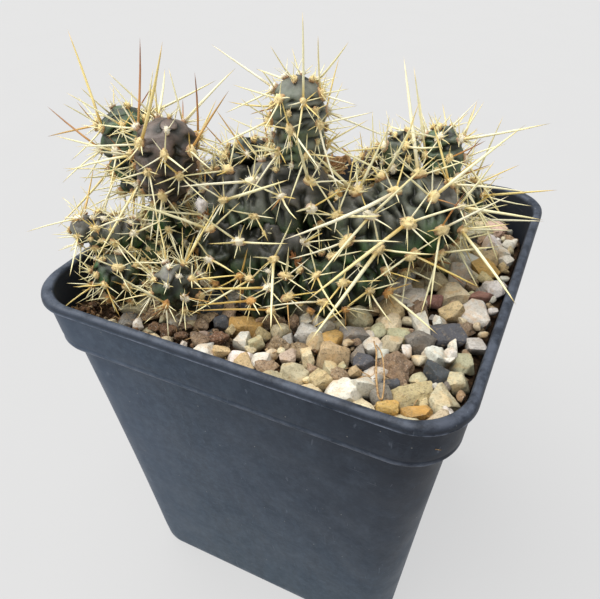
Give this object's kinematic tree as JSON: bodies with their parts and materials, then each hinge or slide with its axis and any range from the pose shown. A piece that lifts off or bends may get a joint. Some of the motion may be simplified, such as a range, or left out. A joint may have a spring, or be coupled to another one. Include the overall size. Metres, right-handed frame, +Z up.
{
  "type": "potted cactus",
  "caption": "Square plastic nursery pot with a clump of small spiny prickly pear stem segments on a bed of mixed gravel.",
  "frame": {"origin": "middle of the pot's flat base", "axes": "+Z up; the pot's four walls face +X, -X, +Y and -Y; the plant's small side segments reach out over the -X, -Y corner"},
  "size_m": [0.1088, 0.09, 0.139],
  "materials": {
    "pot_plastic": "matt, faint sheen on the edges",
    "soil": "rough, crumbly compost",
    "gravel": "dry, dusty mixed stones",
    "stem_skin_green": "waxy plant skin, soft sheen",
    "stem_skin_purple": "waxy plant skin with a purple-grey bloom",
    "spine": "straw-coloured, slightly glossy",
    "areole_wool": "felted buff wool",
    "dried_flower": "dry, papery"
  },
  "bodies": {
    "root": {"pot": "pot_plastic", "soil": "soil", "gravel": "gravel", "right_large_stem": "stem_skin_green", "centre_upper_stem": "stem_skin_purple", "centre_lower_stem": "stem_skin_green", "upright_stem": "stem_skin_green", "upper_left_front_stem": "stem_skin_purple", "upper_left_back_stem": "stem_skin_green", "left_lower_stem": "stem_skin_green", "left_outer_stem": "stem_skin_green", "left_middle_stem": "stem_skin_green", "left_corner_stem": "stem_skin_green", "left_front_stem": "stem_skin_purple", "front_right_low_stem": "stem_skin_green", "front_low_stem": "stem_skin_green", "back_left_stem": "stem_skin_green", "back_right_outer_stem": "stem_skin_green", "back_right_inner_stem": "stem_skin_green", "back_small_stem": "stem_skin_green", "right_end_stem": "stem_skin_green", "dried_flower": "dried_flower"}
  },
  "joints": []
}
